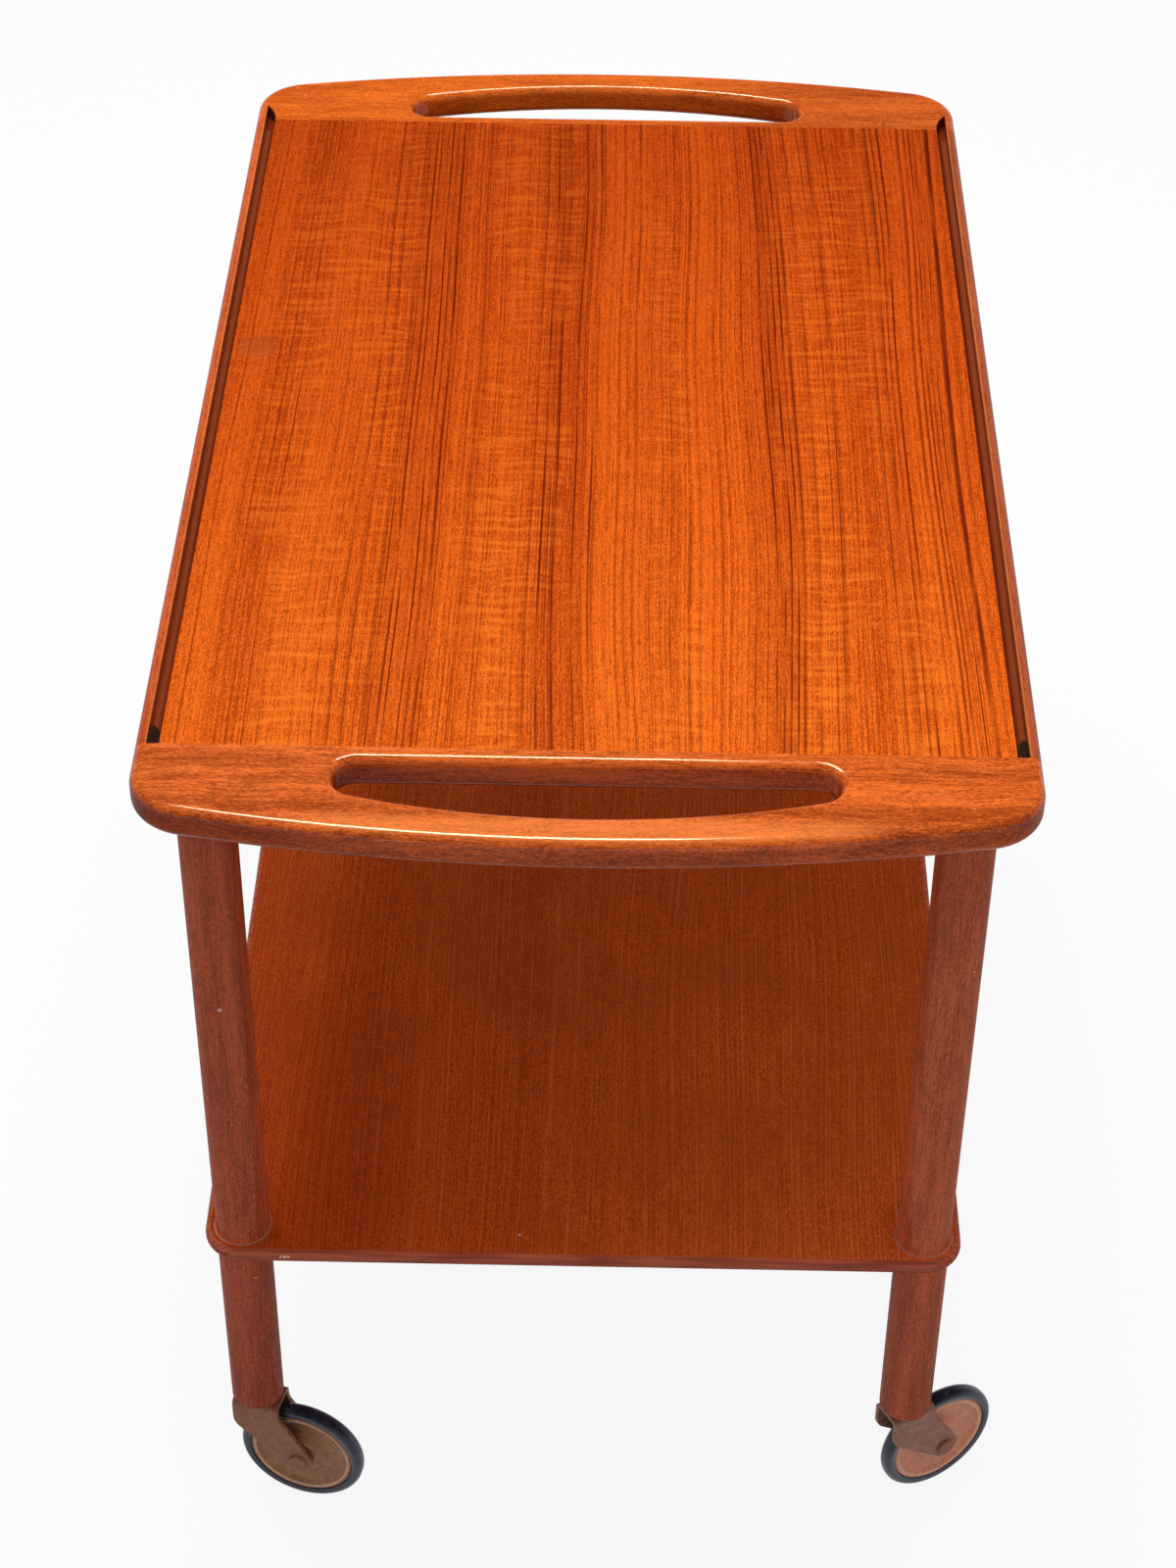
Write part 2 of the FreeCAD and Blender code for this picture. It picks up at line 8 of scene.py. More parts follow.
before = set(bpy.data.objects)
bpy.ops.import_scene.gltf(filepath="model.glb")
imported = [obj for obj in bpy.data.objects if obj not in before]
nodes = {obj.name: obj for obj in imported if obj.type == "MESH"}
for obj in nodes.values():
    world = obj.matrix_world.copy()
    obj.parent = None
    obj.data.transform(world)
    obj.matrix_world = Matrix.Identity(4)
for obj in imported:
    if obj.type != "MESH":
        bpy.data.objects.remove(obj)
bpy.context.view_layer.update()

MM = 0.001
AXIS_X, AXIS_Y, AXIS_Z = range(3)
WHITE = (1, 1, 1)
HALFWAY = 0.5
CORNERS = ("front_left", "front_right", "rear_left", "rear_right")
SIDES = ("left", "right")

# Camera at the photograph's viewpoint: place in metres, angles in degrees, lens and sensor in millimetres
CAMERA_PLACE = Vector((0.0151, -1.5468, 1.5798))
CAMERA_PITCH = 40.324
CAMERA_YAW = 0.69
CAMERA_ROLL = 0.54
CAMERA_LENS = 74.32
SENSOR_HEIGHT = 36.0

# Lamps: place, target and size in metres, power in watts
KEY_PLACE = (-0.20, 0.40, 2.70)
KEY_TARGET = (0, -0.10, 0.5)
KEY_SIZE = (1.3, 1.3)
KEY_POWER = 42.0
HIGHLIGHT_PLACE = (-0.21, 0.58, 2.30)
HIGHLIGHT_TARGET = (0, -0.25, 0.55)
HIGHLIGHT_SIZE = (0.71, 0.42)
HIGHLIGHT_POWER = 60.0
HIGHLIGHT_COLOUR = (1.0, 0.82, 0.54)

# World: strength in reflections at the horizon and overhead, heights of the fall, and diffuse strength
HORIZON_STRENGTH = 0.80
OVERHEAD_STRENGTH = 0.048
HORIZON_FALL = (0.14, 0.40)
DIFFUSE_STRENGTH = 0.464

# Floor: half its length, grey for diffuse light, paper white for the eye, and how much of that glows
FLOOR_REACH = 40.0
FLOOR_GREY = (0.28, 0.28, 0.28)
FLOOR_PAPER = (0.90, 0.90, 0.90)
FLOOR_GLOW = 1.0
FLOOR_GLOW_SHARE = 0.90

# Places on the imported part
TOP_Z = 556 * MM
SHELF_Z = 227 * MM
LEG_X = 189 * MM
LEG_Y = 336 * MM
LEG_RADIUS = 15 * MM
GROOVE_X = 215.75 * MM
GROOVE_HALF = 3.4 * MM
GROOVE_END_Y = 345 * MM
RIDGE_X = 219.5 * MM
RIDGE_HALF = 0.5 * MM
DISC_RING_RADIUS = 29.2 * MM
DISC_RING_HALF = 0.7 * MM

# A soft window is full to the first multiple of its half width and gone at the second
WINDOW_EDGE = (0.8, 1.4)

# Painted light at the left and at the right: tones by which a colour is multiplied, making one side lighter
# or darker, and how far they reach across
SIDE_LIGHT_REACH = 0.2
PANEL_SIDE_LIGHT = ((0.95, 0.93, 0.91), (1.07, 1.08, 1.06))
HANDLE_SIDE_LIGHT = ((1.04, 1.04, 0.96), (1.06, 1.02, 0.78))
REAR_HANDLE_SIDE_LIGHT = ((1.02, 1.00, 0.74), (0.84, 0.80, 0.92))
RAIL_SIDE_LIGHT = ((0.96, 0.84, 0.82), (0.74, 0.78, 1.08))
LEG_SIDE_LIGHT = ((1.00, 0.97, 0.98), (1.17, 1.24, 1.20))
SHELF_SIDE_LIGHT = ((0.86, 0.74, 0.68), (1.16, 1.34, 1.50))

# All lacquered wood: gloss, how far the roughness varies, depth of the bump, and contrast of the grain
WOOD_SPECULAR = 0.0
COAT_ROUGHNESS = 0.12
ROUGHNESS_SPREAD = (-0.06, 0.08)
WOOD_BUMP = 0.05 * MM
GRAIN_CONTRAST = (0.40, 0.60)
NO_COAT = 0.0

# Solid teak: noise cells as width and length in metres, detail and roughness
TEAK_BROAD = (0.011, 0.16, 2.0, 0.55)
TEAK_BAND = (0.0014, 0.030, 2.0, 0.65)
TEAK_THREAD = (0.0006, 0.0024, 2.0, 0.70)
TEAK_PORES = (0.0005, 0.0050, 1.0, 0.5)
TEAK_WEIGHTS = (0.28, 0.28, 0.44)
TEAK_PORE_EDGE = (0.58, 0.72)
TEAK_PORE_SHARE = 0.6
TEAK_PORE_DARKNESS = 0.42
TEAK_RELIEF = (0.4, -1.0)
TEAK_ROUGHNESS = 0.42
TEAK_WANDER = (14.0, 1.0)
TEAK_SWAY = 0.004
COAT_LEVEL = (0.05, 0.40)

# Front handle: colours, painted light on its outer upright faces and painted shade in the slot and at the
# left end, and a painted sheen on the strip before the slot
HANDLE_DARK = (0.33, 0.048, 0.0075)
HANDLE_LIGHT = (0.86, 0.174, 0.032)
HANDLE_SEED = 0.31
HANDLE_COAT = 0.62
HANDLE_EDGE_COAT = 0.25
HANDLE_SWAY = 0.020
UPRIGHT_PAINTED_LIGHT = (1.16, 1.03, 1.30)
SLOT_PAINTED_SHADE = (0.90, 0.76, 0.58)
LEFT_END_PAINTED_SHADE = (0.68, 0.54, 0.32)
UPRIGHT_LEVEL = (0.85, 0.30)
SLOT_WALL_Y = (-0.372, -0.362)
LEFT_END_X = (-0.06, -0.18)
PAINTED_SHEEN_COLOUR = (1.00, 0.300, 0.075)
PAINTED_SHEEN_Y = (-0.361, -0.372)
PAINTED_SHEEN_X = (0.165, 0.120)
PAINTED_SHEEN_Z = (TOP_Z - 1.5 * MM, TOP_Z - 0.2 * MM)
PAINTED_SHEEN_SHARE = 0.34

# Rear handle, with painted shade in the run-outs of the side grooves
REAR_HANDLE_DARK = (0.44, 0.070, 0.009)
REAR_HANDLE_LIGHT = (0.84, 0.170, 0.020)
REAR_HANDLE_SEED = 2.77
REAR_HANDLE_COAT = 0.5
RUN_OUT_Z = (TOP_Z - 0.2 * MM, TOP_Z - 0.8 * MM)
RUN_OUT_Y = (GROOVE_END_Y, GROOVE_END_Y - 2 * MM)

# Side rails, with a painted highlight along the inner edge
RAIL_DARK = (0.42, 0.070, 0.013)
RAIL_LIGHT = (0.70, 0.140, 0.030)
RAIL_SEED = 1.13
RAIL_COAT = 0.3
RIM_HIGHLIGHT_COLOUR = (0.72, 0.260, 0.090)
RIDGE_Z = (TOP_Z - 0.5 * MM, TOP_Z)
RIM_HIGHLIGHT_SHARE = 0.30

# Groove floors, with painted shade by the panel, their stops, and the hidden joinery
GROOVE_DARK = (0.12, 0.014, 0.0032)
GROOVE_LIGHT = (0.20, 0.025, 0.0055)
GROOVE_BROWN = (0.26, 0.054, 0.017)
GROOVE_BROWN_X = (GROOVE_X - 1.0 * MM, GROOVE_X + 1.5 * MM)
GROOVE_SEED = 1.71
GROOVE_COAT = 0.1
STOP_DARK = (0.022, 0.009, 0.006)
STOP_LIGHT = (0.045, 0.018, 0.010)
STOP_SEED = 0.9
INNER_DARK = (0.60, 0.40, 0.20)
INNER_LIGHT = (0.75, 0.52, 0.28)
INNER_SEED = 2.31
INNER_PORE_SHARE = 0.3

# Legs, duller below the shelf, with small nicks as point, inner and outer radius
LEG_DARK = (0.43, 0.076, 0.030)
LEG_LIGHT = (0.82, 0.162, 0.065)
LEG_SEED = 0.57
LEG_COAT = 0.15
LEG_PORE_SHARE = 0.5
FOOT_TONE = (0.88, 0.91, 1.04)
FOOT_REACH = 0.05
NICK_COLOUR = (1.00, 0.66, 0.50)
LEG_MARKS = (
    ((-0.1886, -0.3510, 0.4071), 0.0008, 0.0015),
    ((0.1983, -0.3477, 0.4407), 0.0004, 0.0010),
    ((-0.1824, -0.3495, 0.1972), 0.0004, 0.0009),
)

# Veneer: sway of its growth lines, noise across them as scale, detail and roughness, and cells as for teak
VENEER_SWAY_CELL = (0.16, 0.55, 1.0)
VENEER_SWAY = 0.035
VENEER_BROAD = (24.0, 2.0, 0.5)
VENEER_LINE = (480.0, 2.0, 0.6)
VENEER_FINE = (1000.0, 1.0, 0.6)
VENEER_FLECK = (0.0007, 0.020, 2.0, 0.6)
VENEER_SPECK = (0.0006, 0.0018, 1.0, 0.6)
VENEER_WEIGHTS = (0.13, 0.15, 0.20)
VENEER_BROAD_AND_SPECK = 0.52

# Hairlines: noise for their spacing and strength, scaled by the line count, and the full core of a line
HAIR_JITTER_SCALE = 0.4
HAIR_JITTER_DETAIL = 1.0
HAIR_JITTER = 1.8
HAIR_STRENGTH_SCALE = 0.9
HAIR_STRENGTH_DETAIL = 0.0
HAIR_STRENGTH = (0.22, 0.58)
HAIR_CORE = 0.4

# Top veneer: colours, painted light falling off from front to middle to rear, and a stain
TOP_DARK = (0.40, 0.040, 0.0028)
TOP_LIGHT = (0.90, 0.150, 0.0098)
TOP_FIGURE = (1.00, 0.225, 0.017)
TOP_LINE = (0.14, 0.011, 0.002)
TOP_SEED = 0.0
TOP_BROAD_SHARE = 0.18
TOP_ROUGHNESS = 0.44
TOP_COAT = 0.25
TOP_RELIEF = (0.4, -0.8, -0.5)
LIGHT_FALLOFF_FRONT = (1.08, 1.20, 1.28)
LIGHT_FALLOFF_MIDDLE = (0.83, 0.75, 0.74)
LIGHT_FALLOFF_REAR = (0.62, 0.50, 0.55)
LIGHT_FALLOFF_FRONT_Y = (-0.40, 0.05)
LIGHT_FALLOFF_REAR_Y = (-0.05, 0.40)
STAIN_COLOUR = (0.30, 0.085, 0.030)
STAIN_POINT = (-0.198, 0.047, TOP_Z)
STAIN_RADII = (0.006, 0.017)
STAIN_SHARE = (0.1, 0.55)

# Ripple figure of the top: strips as centre and half width across, crests and patches as cells to the metre
RIPPLE_STRIPS = ((0.140, 0.036), (-0.042, 0.025), (-0.148, 0.038), (0.045, 0.012))
RIPPLE_BEND_CELL = (0.030, 0.09, 1.0)
RIPPLE_BEND = 0.014
RIPPLE_CELLS = (26.0, 230.0)
RIPPLE_EDGE = (0.44, 0.66)
RIPPLE_PATCH_CELLS = (30.0, 5.0)
RIPPLE_PATCH_Z = 3.0
RIPPLE_PATCH_EDGE = (0.32, 0.56)
RIPPLE_NOISE = (1.0, 1.0)
RIPPLE_OUTSIDE = 0.22
RIPPLE_SHARE = 0.38

# Growth lines of the top: groups as centre and half width, hairlines as offset, count and half width
LINE_GROUPS = (
    (-0.0975, 0.013), (-0.067, 0.003), (-0.001, 0.006), (0.1015, 0.008),
    (0.1295, 0.003), (0.167, 0.008), (0.196, 0.011), (-0.020, 0.005),
)
GROUP_SHARE = 0.14
GROUP_HAIR = (7.7, 280.0, 0.21)
LONE_HAIR = (2.3, 210.0, 0.12)
LONE_SHARE = 0.55
LINE_BREAK_CELL = (0.005, 0.10, 1.0)
LINE_BREAK_EDGE = (0.25, 0.60)
LINE_SHARE = 0.92
TOP_PORE_CELL = (0.0005, 0.012, 1.0)
TOP_PORE_EDGE = (0.58, 0.74)
TOP_PORE_SHARE = 0.30

# Shelf veneer: colours, pale hairlines, clouds, painted light across the front half, and nicks as on the
# legs
SHELF_DARK = (0.42, 0.052, 0.0075)
SHELF_LIGHT = (0.80, 0.134, 0.0200)
SHELF_FLECK = (0.90, 0.240, 0.070)
SHELF_CLOUD = (0.44, 0.068, 0.0125)
SHELF_SEED = 0.73
SHELF_BROAD_SHARE = 0.08
SHELF_ROUGHNESS = 0.46
SHELF_COAT = 0.15
SHELF_RELIEF = 0.5
SHELF_HAIR = (3.1, 330.0, 0.17)
SHELF_BREAK_CELL = (0.004, 0.05, 1.0)
SHELF_BREAK_EDGE = (0.35, 0.65)
SHELF_HAIR_SHARE = 0.40
CLOUD_NOISE = (9.0, 2.0)
CLOUD_EDGE = (0.36, 0.64)
CLOUD_SHARE = 0.30
SHELF_SIDE_LIGHT_Y = (0.10, -0.33)
SHELF_MARKS = (
    ((-0.0351, -0.3405, SHELF_Z), 0.0004, 0.0009),
    ((-0.1643, -0.3566, 0.2235), 0.0007, 0.0015),
    ((-0.1622, -0.3566, 0.2237), 0.0005, 0.0012),
    ((-0.1664, -0.3566, 0.2237), 0.0004, 0.0011),
)

# Solid edge of the shelf, and a painted highlight on the seam round each leg's foot
SHELF_EDGE_DARK = (0.40, 0.082, 0.042)
SHELF_EDGE_LIGHT = (0.66, 0.150, 0.082)
SHELF_EDGE_CELL = (0.002, 0.05, 2.0)
SHELF_EDGE_CONTRAST = (0.35, 0.65)
SHELF_FLAT_LEVEL = (0.93, 0.995)
SEAM_HIGHLIGHT_COLOUR = (0.62, 0.30, 0.20)
SEAM_RADII = (LEG_RADIUS + 1.0 * MM, LEG_RADIUS + 1.7 * MM)
SEAM_HIGHLIGHT_SHARE = 0.75

# Metals: dark, light and rust colours, how metallic, and roughness
FORK_BRONZE = ((0.25, 0.092, 0.045), (0.47, 0.195, 0.104), (0.31, 0.095, 0.044), 0.15, 0.6)
FORK_PALE = ((0.265, 0.115, 0.076), (0.50, 0.25, 0.180), (0.33, 0.12, 0.078), 0.15, 0.6)
DISC_BRONZE = ((0.24, 0.092, 0.040), (0.475, 0.215, 0.093), (0.335, 0.11, 0.047), 0.20, 0.5)
DISC_COPPER = ((0.60, 0.215, 0.118), (0.92, 0.375, 0.220), (0.76, 0.235, 0.130), 0.20, 0.5)
PLAIN_STEEL = ((0.25, 0.22, 0.19), (0.45, 0.41, 0.36), (0.20, 0.11, 0.07), 0.9, 0.4)
# Bright ring on the wheel discs: partly worn metal, partly a painted highlight on the raised rim
RING_WEAR_AND_HIGHLIGHT = (0.85, 0.55, 0.34)
RING_WEAR_AND_HIGHLIGHT_SHARE = (0.3, 0.9)

# Ageing of metals: noise as scale, detail and roughness, and how each part shows
BLOTCH_NOISE = (260.0, 4.0, 0.6)
BLOTCH_CONTRAST = (0.25, 0.75)
RUST_NOISE = (104.0, 3.0, 0.6)
RUST_EDGE = (0.45, 0.62)
RUST_SHARE = 0.45
SPECK_NOISE = (1300.0, 2.0)
SPECK_EDGE = (0.55, 0.75)
SPECK_SHARE = 0.4
SPECK_DARKNESS = 0.4
METAL_ROUGHNESS_SPREAD = 0.12
METAL_BUMP = 0.08 * MM

# Tyres: black rubber with a bluish sheen, and a little dust whose bluish colour is also a painted sheen
TYRE_COLOUR = (0.015, 0.012, 0.021)
TYRE_DUST_AND_SHEEN = (0.080, 0.072, 0.112)
DUST_NOISE = (90.0, 4.0, 0.65)
DUST_EDGE = (0.46, 0.66)
DUST_AND_SHEEN_SHARE = 0.6
TYRE_GRAIN = (1200.0, 2.0)
TYRE_ROUGHNESS = (0.28, 0.45)
TYRE_BUMP = 0.04 * MM
TYRE_SPECULAR = 0.55
TYRE_SHEEN = (0.70, 0.82, 1.0)


class Graph:
    """The node tree of a material or a world, with short calls for the nodes that are used here."""

    def __init__(self, owner, output="ShaderNodeOutputMaterial"):
        owner.use_nodes = True
        self.owner = owner
        self.tree = owner.node_tree
        self.tree.nodes.clear()
        self.output = self.tree.nodes.new(output)

    def feed(self, socket, value):
        """Links a socket, or sets it to a plain value."""
        if isinstance(value, bpy.types.NodeSocket):
            self.tree.links.new(value, socket)
        elif socket.type == "RGBA":
            socket.default_value = (*value, 1.0)
        else:
            socket.default_value = value

    def add(self, kind, inputs=None, **settings):
        """One node with its settings and inputs."""
        node = self.tree.nodes.new(kind)
        for key, value in settings.items():
            setattr(node, key, value)
        for key, value in (inputs or {}).items():
            self.feed(node.inputs[key], value)
        return node

    def math(self, operation, *values):
        """One operation on one or two numbers."""
        return self.add("ShaderNodeMath", dict(enumerate(values)), operation=operation).outputs[0]

    def chain(self, operation, values):
        """Several numbers joined by one operation."""
        return reduce(lambda first, second: self.math(operation, first, second), values)

    def times(self, *values):
        return self.chain("MULTIPLY", values)

    def total(self, *values):
        return self.chain("ADD", values)

    def most(self, *values):
        return self.chain("MAXIMUM", values)

    def least(self, *values):
        return self.chain("MINIMUM", values)

    def size(self, value):
        """The number without its sign."""
        return self.math("ABSOLUTE", value)

    def step(self, value, start, end, low=0.0, high=1.0):
        """Smooth change from low at the start to high at the end."""
        inputs = {"Value": value, "From Min": start, "From Max": end, "To Min": low, "To Max": high}
        return self.add("ShaderNodeMapRange", inputs, interpolation_type="SMOOTHSTEP").outputs[0]

    def scaled(self, value, low, high):
        """A share from 0 to 1 spread over low to high."""
        return self.add("ShaderNodeMapRange", {"Value": value, "To Min": low, "To Max": high}).outputs[0]

    def mix(self, share, first, second, blend="MIX"):
        """Blend of two colours."""
        node = self.add("ShaderNodeMix", {0: share}, data_type="RGBA", blend_type=blend)
        self.feed(node.inputs[6], first)
        self.feed(node.inputs[7], second)
        return node.outputs[2]

    def place(self):
        """Object coordinates, which are the part's own metres."""
        return self.add("ShaderNodeTexCoord").outputs["Object"]

    def level(self):
        """1 where the surface lies level, 0 where it stands upright."""
        return self.size(self.split(self.add("ShaderNodeTexCoord").outputs["Normal"])[AXIS_Z])

    def split(self, vector):
        return self.add("ShaderNodeSeparateXYZ", {0: vector}).outputs

    def join(self, x, y, z):
        return self.add("ShaderNodeCombineXYZ", {0: x, 1: y, 2: z}).outputs[0]

    def shift(self, vector, by):
        return self.add("ShaderNodeVectorMath", {0: vector, 1: by}, operation="ADD").outputs[0]

    def stretch(self, vector, scale):
        """The vector with each axis multiplied by its own scale."""
        return self.add("ShaderNodeVectorMath", {0: vector, 1: scale}, operation="MULTIPLY").outputs[0]

    def gap(self, vector, point):
        """Distance from a point."""
        return self.add("ShaderNodeVectorMath", {0: vector, 1: point}, operation="DISTANCE").outputs["Value"]

    def near(self, vector, point, inner, outer):
        """1 within inner of a point, falling to 0 at outer."""
        return self.step(self.gap(vector, point), outer, inner)

    def noise(self, vector, scale=1.0, detail=2.0, rough=0.5):
        inputs = {"Vector": vector, "Scale": scale, "Detail": detail, "Roughness": rough}
        return self.add("ShaderNodeTexNoise", inputs).outputs["Fac"]

    def noise_line(self, along, scale, detail=2.0, rough=0.5):
        """Noise along one number."""
        inputs = {"W": along, "Scale": scale, "Detail": detail, "Roughness": rough}
        return self.add("ShaderNodeTexNoise", inputs, noise_dimensions="1D").outputs["Fac"]

    def bump(self, height, distance):
        return self.add("ShaderNodeBump", {"Height": height, "Distance": distance}).outputs[0]

    def end(self, shader):
        """Links the last shader to the output."""
        self.tree.links.new(shader, self.output.inputs["Surface"])
        return self.owner

    def surface(self, inputs):
        """Ends the graph with a principled surface."""
        return self.end(self.add("ShaderNodeBsdfPrincipled", inputs).outputs[0])


def new_graph(name):
    """Node graph of a new material."""
    return Graph(bpy.data.materials.new(name))


def dress(name, material):
    """Gives a CAD node its finish."""
    mesh = nodes[name].data
    mesh.materials.clear()
    mesh.materials.append(material)


def fibres(g, spot, grain, across, along, detail=2.0, rough=0.5):
    """Noise with cells of the given width and length in metres, drawn out along the grain axis."""
    scale = [1 / across] * 3
    scale[grain] = 1 / along
    return g.noise(g.stretch(spot, tuple(scale)), detail=detail, rough=rough)


def weighted(g, values, weights):
    """Sum of the values, each times its weight."""
    return g.total(*[g.times(value, weight) for value, weight in zip(values, weights)])


def window(g, value, centre, half):
    """1 within half of the centre, falling softly to 0 outside."""
    full, gone = WINDOW_EDGE
    return g.step(g.size(g.math("SUBTRACT", value, centre)), half * gone, half * full)


def windows(g, value, spans):
    """1 within any of several spans, each a centre and a half width."""
    return g.most(*[window(g, value, centre, half) for centre, half in spans])


def darker(colour, share):
    return tuple(share * channel for channel in colour)


def toned(g, colour, along, start, end, first, second):
    """The colour times a tone that runs from the first to the second over a stretch."""
    return g.mix(1.0, colour, g.mix(g.step(along, start, end), first, second), "MULTIPLY")


def painted_side_light(g, colour, x, tones):
    """Painted light: the colour times a tone that runs from left to right."""
    return toned(g, colour, x, -SIDE_LIGHT_REACH, SIDE_LIGHT_REACH, *tones)


def nicked(g, spot, colour, marks):
    """The colour with small pale nicks."""
    for point, inner, outer in marks:
        colour = g.mix(g.near(spot, point, inner, outer), colour, NICK_COLOUR)
    return colour


def lacquered(g, colour, relief, roughness, spread, coat):
    """Ends a wood graph: satin wood under thin lacquer."""
    low, high = ROUGHNESS_SPREAD
    return g.surface({
        "Base Color": colour,
        "Roughness": g.scaled(spread, roughness + low, roughness + high),
        "Normal": g.bump(relief, WOOD_BUMP),
        "Specular IOR Level": WOOD_SPECULAR,
        "Coat Weight": coat,
        "Coat Roughness": COAT_ROUGHNESS,
    })


def handle_painted_light(g, spot, colour):
    """Painted light on the outer upright faces, painted shade in the slot and at the left end, painted light
    that differs from left to right, and a painted sheen on the strip before the slot.
    """
    x, y, z = g.split(spot)
    # Painted light: lighter or darker from left to right
    colour = painted_side_light(g, colour, x, HANDLE_SIDE_LIGHT)
    # Painted light on the outer upright faces, painted shade on the slot walls
    upright = g.step(g.level(), *UPRIGHT_LEVEL)
    upright_light_and_shade = g.mix(g.step(y, *SLOT_WALL_Y), UPRIGHT_PAINTED_LIGHT, SLOT_PAINTED_SHADE)
    colour = g.mix(upright, colour, upright_light_and_shade, "MULTIPLY")
    # Painted shade at the left end
    left = g.times(upright, g.step(x, *LEFT_END_X))
    colour = g.mix(left, colour, LEFT_END_PAINTED_SHADE, "MULTIPLY")
    # Painted sheen on the strip before the slot
    sheen_strip = g.times(g.step(y, *PAINTED_SHEEN_Y), g.step(g.size(x), *PAINTED_SHEEN_X), g.step(z, *PAINTED_SHEEN_Z))
    return g.mix(g.times(sheen_strip, PAINTED_SHEEN_SHARE), colour, PAINTED_SHEEN_COLOUR)


def rear_handle_painted_light(g, spot, colour):
    """Painted shade in the run-outs of the side grooves, and painted light that darkens the handle to the
    right.
    """
    x, y, z = g.split(spot)
    # Painted light: the handle darker to the right
    colour = painted_side_light(g, colour, x, REAR_HANDLE_SIDE_LIGHT)
    # Painted shade inside the run-outs
    across = window(g, g.size(x), GROOVE_X, GROOVE_HALF)
    run_out_shade = g.times(g.step(z, *RUN_OUT_Z), across, g.step(g.size(y), *RUN_OUT_Y))
    return g.mix(run_out_shade, colour, GROOVE_LIGHT)


def rail_painted_light(g, spot, colour):
    """Painted highlight along the inner edge of a side rail, and painted light that differs from left to
    right.
    """
    x, _, z = g.split(spot)
    # Painted light that differs from left to right
    colour = painted_side_light(g, colour, x, RAIL_SIDE_LIGHT)
    # Painted highlight along the inner edge
    rim_highlight = g.times(window(g, g.size(x), RIDGE_X, RIDGE_HALF), g.step(z, *RIDGE_Z))
    return g.mix(g.times(rim_highlight, RIM_HIGHLIGHT_SHARE), colour, RIM_HIGHLIGHT_COLOUR)


def groove_floor_shade(g, spot, colour):
    """Groove floor with painted shade by the panel, and brown by the rail."""
    across = g.size(g.split(spot)[AXIS_X])
    # Painted shade on the floor next to the panel
    return g.mix(g.step(across, *GROOVE_BROWN_X), colour, GROOVE_BROWN)


def leg_nicks_and_side_light(g, spot, colour):
    """Pale nicks on the legs, painted light that makes the legs at the right lighter, and duller feet."""
    x, _, z = g.split(spot)
    # Painted light: the legs at the right lighter
    colour = painted_side_light(g, colour, x, LEG_SIDE_LIGHT)
    colour = toned(g, colour, z, SHELF_Z - FOOT_REACH, SHELF_Z, FOOT_TONE, WHITE)
    return nicked(g, spot, colour, LEG_MARKS)


def solid_teak(name, grain, dark, light, seed, coat,
               pore_share=TEAK_PORE_SHARE, touch=None, edge_coat=None, sway=TEAK_SWAY):
    """Solid teak with pores drawn out along the grain axis, and local touches."""
    g = new_graph(name)
    spot = g.place()
    shift = [g.total(g.times(g.noise(spot, *TEAK_WANDER), sway), seed)] * 3
    shift[grain] = seed
    shifted = g.shift(spot, g.join(*shift))
    broad = fibres(g, shifted, grain, *TEAK_BROAD)
    band = fibres(g, shifted, grain, *TEAK_BAND)
    thread = fibres(g, shifted, grain, *TEAK_THREAD)
    share = weighted(g, (broad, band, thread), TEAK_WEIGHTS)
    colour = g.mix(g.step(share, *GRAIN_CONTRAST), dark, light)
    holes = g.step(fibres(g, shifted, grain, *TEAK_PORES), *TEAK_PORE_EDGE)
    colour = g.mix(g.times(holes, pore_share), colour, darker(dark, TEAK_PORE_DARKNESS))
    if touch:
        colour = touch(g, spot, colour)
    if edge_coat is not None:
        coat = g.scaled(g.step(g.level(), *COAT_LEVEL), edge_coat, coat)
    relief = weighted(g, (thread, holes), TEAK_RELIEF)
    return lacquered(g, colour, relief, TEAK_ROUGHNESS, band, coat)


def hairlines(g, ring, offset, count, half):
    """Thin lines, count to the metre, unevenly spaced and of uneven strength."""
    moved = g.total(ring, offset)
    jitter = g.times(g.noise_line(moved, HAIR_JITTER_SCALE * count, HAIR_JITTER_DETAIL), HAIR_JITTER)
    phase = g.math("FRACT", g.total(g.times(moved, count), jitter))
    gap = g.size(g.math("SUBTRACT", phase, HALFWAY))
    strength = g.noise_line(moved, HAIR_STRENGTH_SCALE * count, HAIR_STRENGTH_DETAIL)
    return g.times(g.step(gap, half, HAIR_CORE * half), g.step(strength, *HAIR_STRENGTH))


def veneer_grain(g, spot, dark, light, seed, broad_share):
    """Straight-grained veneer along y: colour, the growth-line coordinate and the fibre noise."""
    shifted = g.shift(spot, (seed, seed, 0.0))
    sway = g.math("SUBTRACT", fibres(g, shifted, AXIS_Y, *VENEER_SWAY_CELL), HALFWAY)
    ring = g.total(g.split(shifted)[AXIS_X], g.times(sway, VENEER_SWAY))
    broad = g.noise_line(ring, *VENEER_BROAD)
    line = g.noise_line(ring, *VENEER_LINE)
    fine = g.noise_line(ring, *VENEER_FINE)
    fleck = fibres(g, shifted, AXIS_Y, *VENEER_FLECK)
    speck = fibres(g, shifted, AXIS_Y, *VENEER_SPECK)
    weights = (broad_share, *VENEER_WEIGHTS, VENEER_BROAD_AND_SPECK - broad_share)
    share = weighted(g, (broad, line, fine, fleck, speck), weights)
    return g.mix(g.step(share, *GRAIN_CONTRAST), dark, light), ring, fleck


